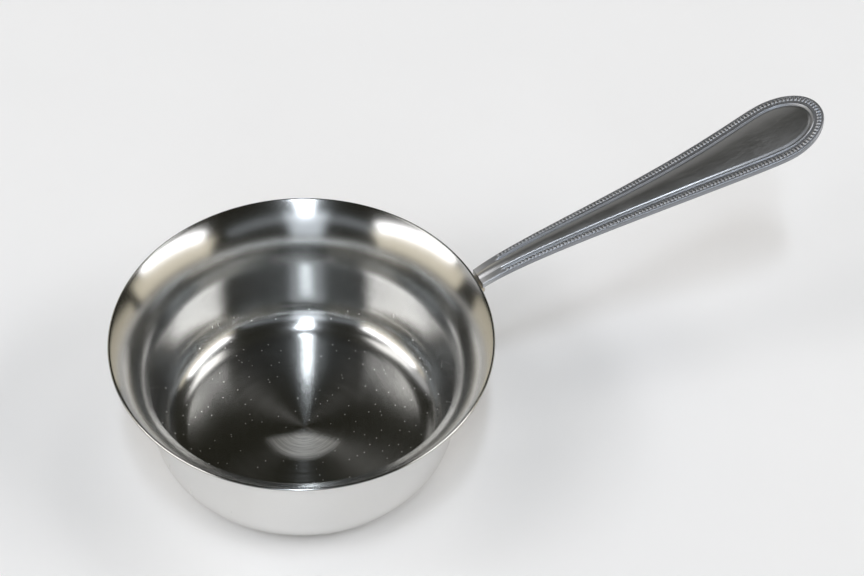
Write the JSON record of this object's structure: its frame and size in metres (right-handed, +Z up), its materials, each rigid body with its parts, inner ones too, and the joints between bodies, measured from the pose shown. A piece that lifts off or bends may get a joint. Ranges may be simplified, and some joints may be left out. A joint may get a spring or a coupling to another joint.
{
  "type": "cocotte dish",
  "caption": "Small round stainless cocotte dish with a flared lip, a flat floor and a rising stamped handle with a beaded border, welded to the lip.",
  "frame": {"origin": "centre of the bowl's flat base, on the surface that the dish stands on", "axes": "+X from the bowl's axis out along the handle, +Z up the bowl's axis, +Y to the left of someone who looks along +X"},
  "size_m": [0.2049, 0.102, 0.0647],
  "materials": {
    "bowl_steel": "polished stainless steel with fine spun rings and dark room reflections",
    "handle_steel": "polished stamped stainless steel with fine handling scratches",
    "weld_steel": "bare weld metal, satin"
  },
  "bodies": {
    "root": {"bowl": "bowl_steel", "handle": "handle_steel", "weld_bead": "weld_steel"}
  },
  "joints": []
}
